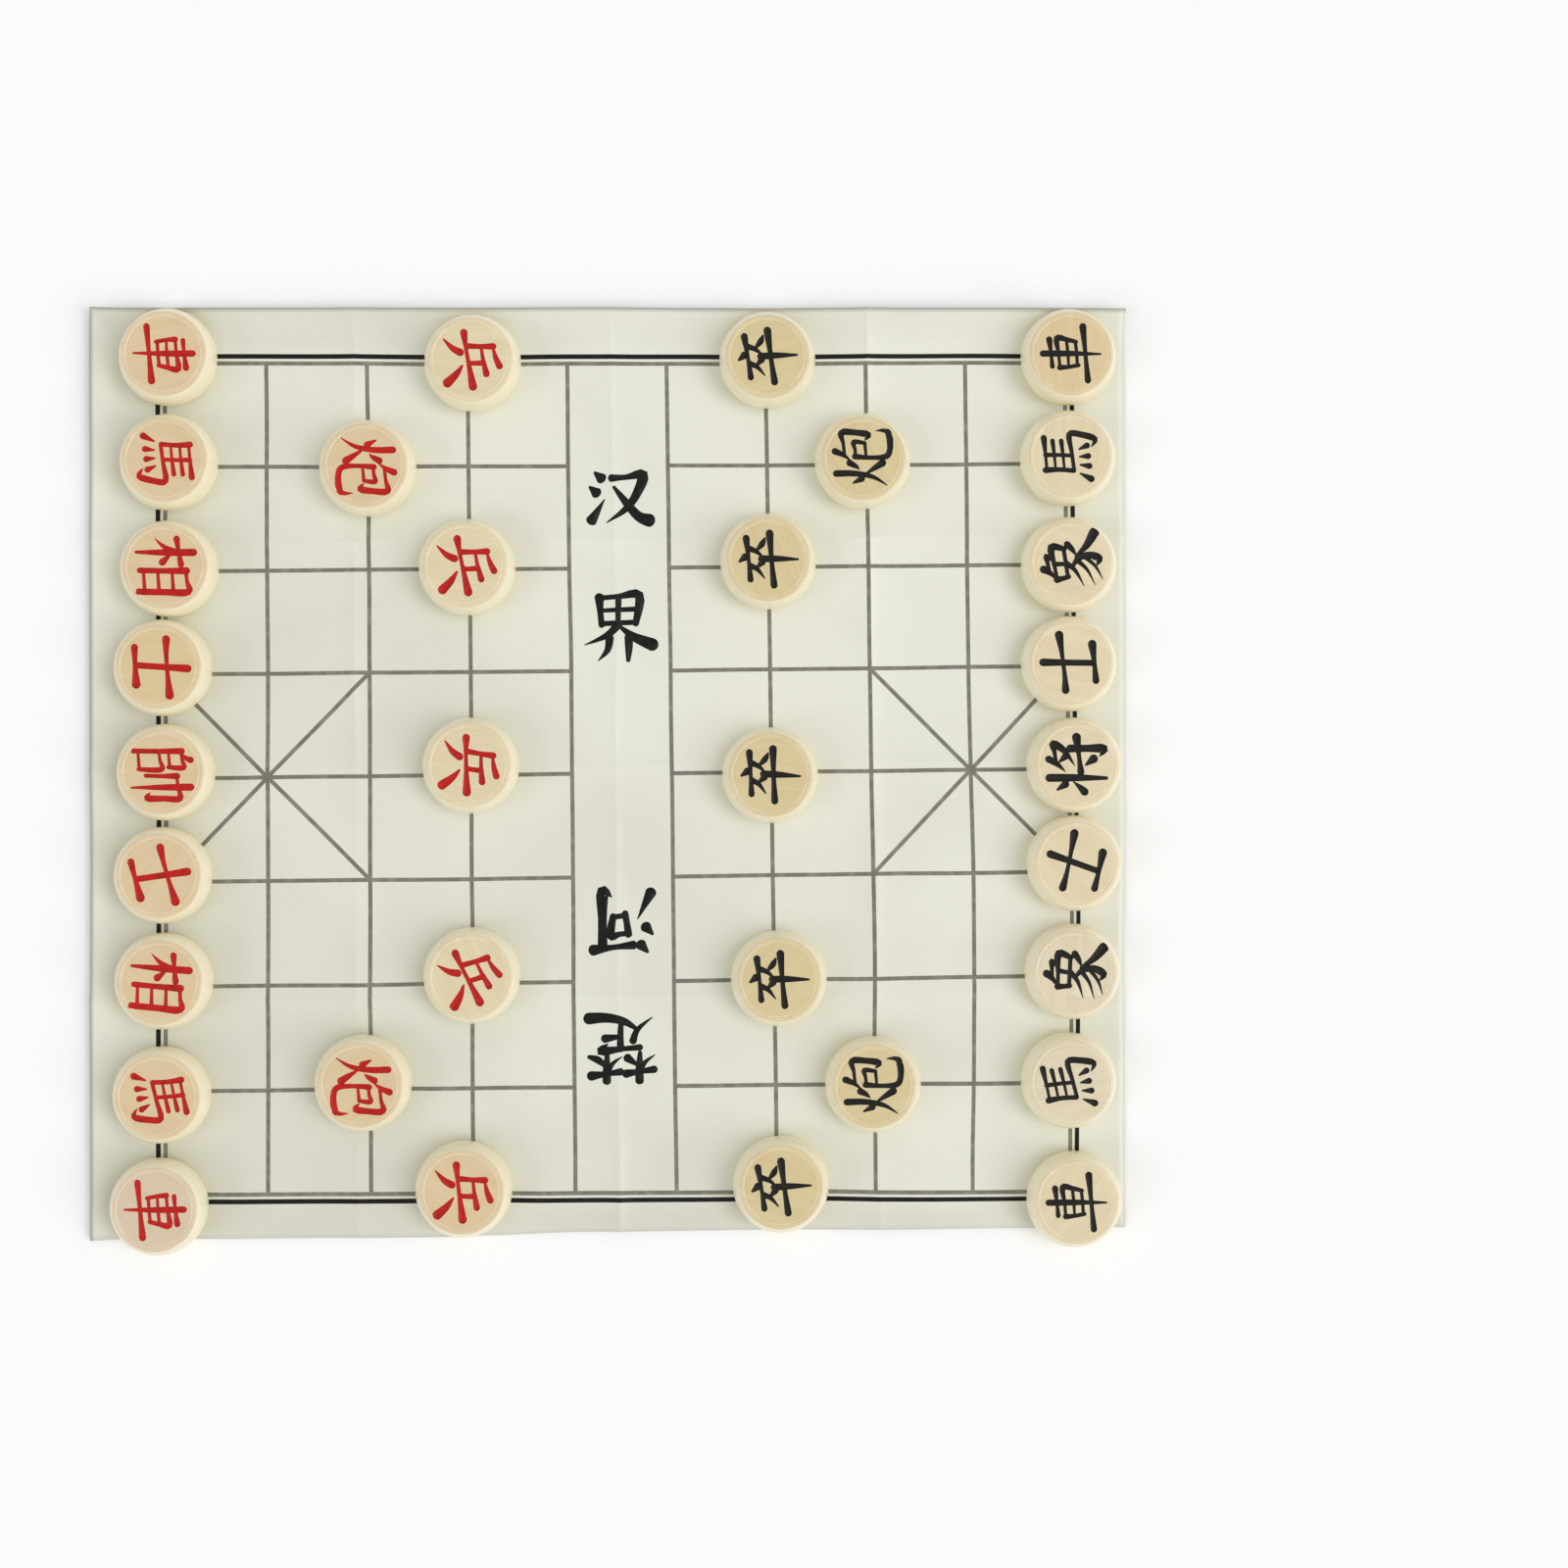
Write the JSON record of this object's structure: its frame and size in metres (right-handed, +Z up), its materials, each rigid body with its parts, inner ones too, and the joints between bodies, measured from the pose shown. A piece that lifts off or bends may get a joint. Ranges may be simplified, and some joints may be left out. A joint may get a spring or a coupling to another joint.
{
  "type": "chinese chess set",
  "caption": "Chinese chess set: a thin printed sheet as the board, with round turned wooden pieces standing on its crossings ready for play.",
  "frame": {"origin": "middle of the board sheet's underside, which rests on the table", "axes": "+X along the sheet from the red side to the black side, +Y across it towards the back edge, +Z up"},
  "size_m": [0.358, 0.3247, 0.0132],
  "materials": {
    "film": "semi-gloss film",
    "ink": "printed",
    "wood": "polished",
    "red_paint": "satin paint",
    "black_paint": "satin paint"
  },
  "bodies": {
    "board": {"board_sheet": "film"},
    "red_chariot_1": {"red_chariot_1": "wood"},
    "red_horse_1": {"red_horse_1": "wood"},
    "red_elephant_1": {"red_elephant_1": "wood"},
    "red_advisor_1": {"red_advisor_1": "wood"},
    "red_general": {"red_general": "wood"},
    "red_advisor_2": {"red_advisor_2": "wood"},
    "red_elephant_2": {"red_elephant_2": "wood"},
    "red_horse_2": {"red_horse_2": "wood"},
    "red_chariot_2": {"red_chariot_2": "wood"},
    "red_cannon_1": {"red_cannon_1": "wood"},
    "red_cannon_2": {"red_cannon_2": "wood"},
    "red_soldier_1": {"red_soldier_1": "wood"},
    "red_soldier_2": {"red_soldier_2": "wood"},
    "red_soldier_3": {"red_soldier_3": "wood"},
    "red_soldier_4": {"red_soldier_4": "wood"},
    "red_soldier_5": {"red_soldier_5": "wood"},
    "black_soldier_1": {"black_soldier_1": "wood"},
    "black_soldier_2": {"black_soldier_2": "wood"},
    "black_soldier_3": {"black_soldier_3": "wood"},
    "black_soldier_4": {"black_soldier_4": "wood"},
    "black_soldier_5": {"black_soldier_5": "wood"},
    "black_cannon_1": {"black_cannon_1": "wood"},
    "black_cannon_2": {"black_cannon_2": "wood"},
    "black_chariot_1": {"black_chariot_1": "wood"},
    "black_horse_1": {"black_horse_1": "wood"},
    "black_elephant_1": {"black_elephant_1": "wood"},
    "black_advisor_1": {"black_advisor_1": "wood"},
    "black_general": {"black_general": "wood"},
    "black_advisor_2": {"black_advisor_2": "wood"},
    "black_elephant_2": {"black_elephant_2": "wood"},
    "black_horse_2": {"black_horse_2": "wood"},
    "black_chariot_2": {"black_chariot_2": "wood"}
  },
  "joints": [
    {"name": "red_chariot_1_lift", "type": "slide", "parent": "board", "child": "red_chariot_1", "axis": [0, 0, 1], "range_m": [0, 0.02]},
    {"name": "red_horse_1_lift", "type": "slide", "parent": "board", "child": "red_horse_1", "axis": [0, 0, 1], "range_m": [0, 0.02]},
    {"name": "red_elephant_1_lift", "type": "slide", "parent": "board", "child": "red_elephant_1", "axis": [0, 0, 1], "range_m": [0, 0.02]},
    {"name": "red_advisor_1_lift", "type": "slide", "parent": "board", "child": "red_advisor_1", "axis": [0, 0, 1], "range_m": [0, 0.02]},
    {"name": "red_general_lift", "type": "slide", "parent": "board", "child": "red_general", "axis": [0, 0, 1], "range_m": [0, 0.02]},
    {"name": "red_advisor_2_lift", "type": "slide", "parent": "board", "child": "red_advisor_2", "axis": [0, 0, 1], "range_m": [0, 0.02]},
    {"name": "red_elephant_2_lift", "type": "slide", "parent": "board", "child": "red_elephant_2", "axis": [0, 0, 1], "range_m": [0, 0.02]},
    {"name": "red_horse_2_lift", "type": "slide", "parent": "board", "child": "red_horse_2", "axis": [0, 0, 1], "range_m": [0, 0.02]},
    {"name": "red_chariot_2_lift", "type": "slide", "parent": "board", "child": "red_chariot_2", "axis": [0, 0, 1], "range_m": [0, 0.02]},
    {"name": "red_cannon_1_lift", "type": "slide", "parent": "board", "child": "red_cannon_1", "axis": [0, 0, 1], "range_m": [0, 0.02]},
    {"name": "red_cannon_2_lift", "type": "slide", "parent": "board", "child": "red_cannon_2", "axis": [0, 0, 1], "range_m": [0, 0.02]},
    {"name": "red_soldier_1_lift", "type": "slide", "parent": "board", "child": "red_soldier_1", "axis": [0, 0, 1], "range_m": [0, 0.02]},
    {"name": "red_soldier_2_lift", "type": "slide", "parent": "board", "child": "red_soldier_2", "axis": [0, 0, 1], "range_m": [0, 0.02]},
    {"name": "red_soldier_3_lift", "type": "slide", "parent": "board", "child": "red_soldier_3", "axis": [0, 0, 1], "range_m": [0, 0.02]},
    {"name": "red_soldier_4_lift", "type": "slide", "parent": "board", "child": "red_soldier_4", "axis": [0, 0, 1], "range_m": [0, 0.02]},
    {"name": "red_soldier_5_lift", "type": "slide", "parent": "board", "child": "red_soldier_5", "axis": [0, 0, 1], "range_m": [0, 0.02]},
    {"name": "black_soldier_1_lift", "type": "slide", "parent": "board", "child": "black_soldier_1", "axis": [0, 0, 1], "range_m": [0, 0.02]},
    {"name": "black_soldier_2_lift", "type": "slide", "parent": "board", "child": "black_soldier_2", "axis": [0, 0, 1], "range_m": [0, 0.02]},
    {"name": "black_soldier_3_lift", "type": "slide", "parent": "board", "child": "black_soldier_3", "axis": [0, 0, 1], "range_m": [0, 0.02]},
    {"name": "black_soldier_4_lift", "type": "slide", "parent": "board", "child": "black_soldier_4", "axis": [0, 0, 1], "range_m": [0, 0.02]},
    {"name": "black_soldier_5_lift", "type": "slide", "parent": "board", "child": "black_soldier_5", "axis": [0, 0, 1], "range_m": [0, 0.02]},
    {"name": "black_cannon_1_lift", "type": "slide", "parent": "board", "child": "black_cannon_1", "axis": [0, 0, 1], "range_m": [0, 0.02]},
    {"name": "black_cannon_2_lift", "type": "slide", "parent": "board", "child": "black_cannon_2", "axis": [0, 0, 1], "range_m": [0, 0.02]},
    {"name": "black_chariot_1_lift", "type": "slide", "parent": "board", "child": "black_chariot_1", "axis": [0, 0, 1], "range_m": [0, 0.02]},
    {"name": "black_horse_1_lift", "type": "slide", "parent": "board", "child": "black_horse_1", "axis": [0, 0, 1], "range_m": [0, 0.02]},
    {"name": "black_elephant_1_lift", "type": "slide", "parent": "board", "child": "black_elephant_1", "axis": [0, 0, 1], "range_m": [0, 0.02]},
    {"name": "black_advisor_1_lift", "type": "slide", "parent": "board", "child": "black_advisor_1", "axis": [0, 0, 1], "range_m": [0, 0.02]},
    {"name": "black_general_lift", "type": "slide", "parent": "board", "child": "black_general", "axis": [0, 0, 1], "range_m": [0, 0.02]},
    {"name": "black_advisor_2_lift", "type": "slide", "parent": "board", "child": "black_advisor_2", "axis": [0, 0, 1], "range_m": [0, 0.02]},
    {"name": "black_elephant_2_lift", "type": "slide", "parent": "board", "child": "black_elephant_2", "axis": [0, 0, 1], "range_m": [0, 0.02]},
    {"name": "black_horse_2_lift", "type": "slide", "parent": "board", "child": "black_horse_2", "axis": [0, 0, 1], "range_m": [0, 0.02]},
    {"name": "black_chariot_2_lift", "type": "slide", "parent": "board", "child": "black_chariot_2", "axis": [0, 0, 1], "range_m": [0, 0.02]}
  ]
}
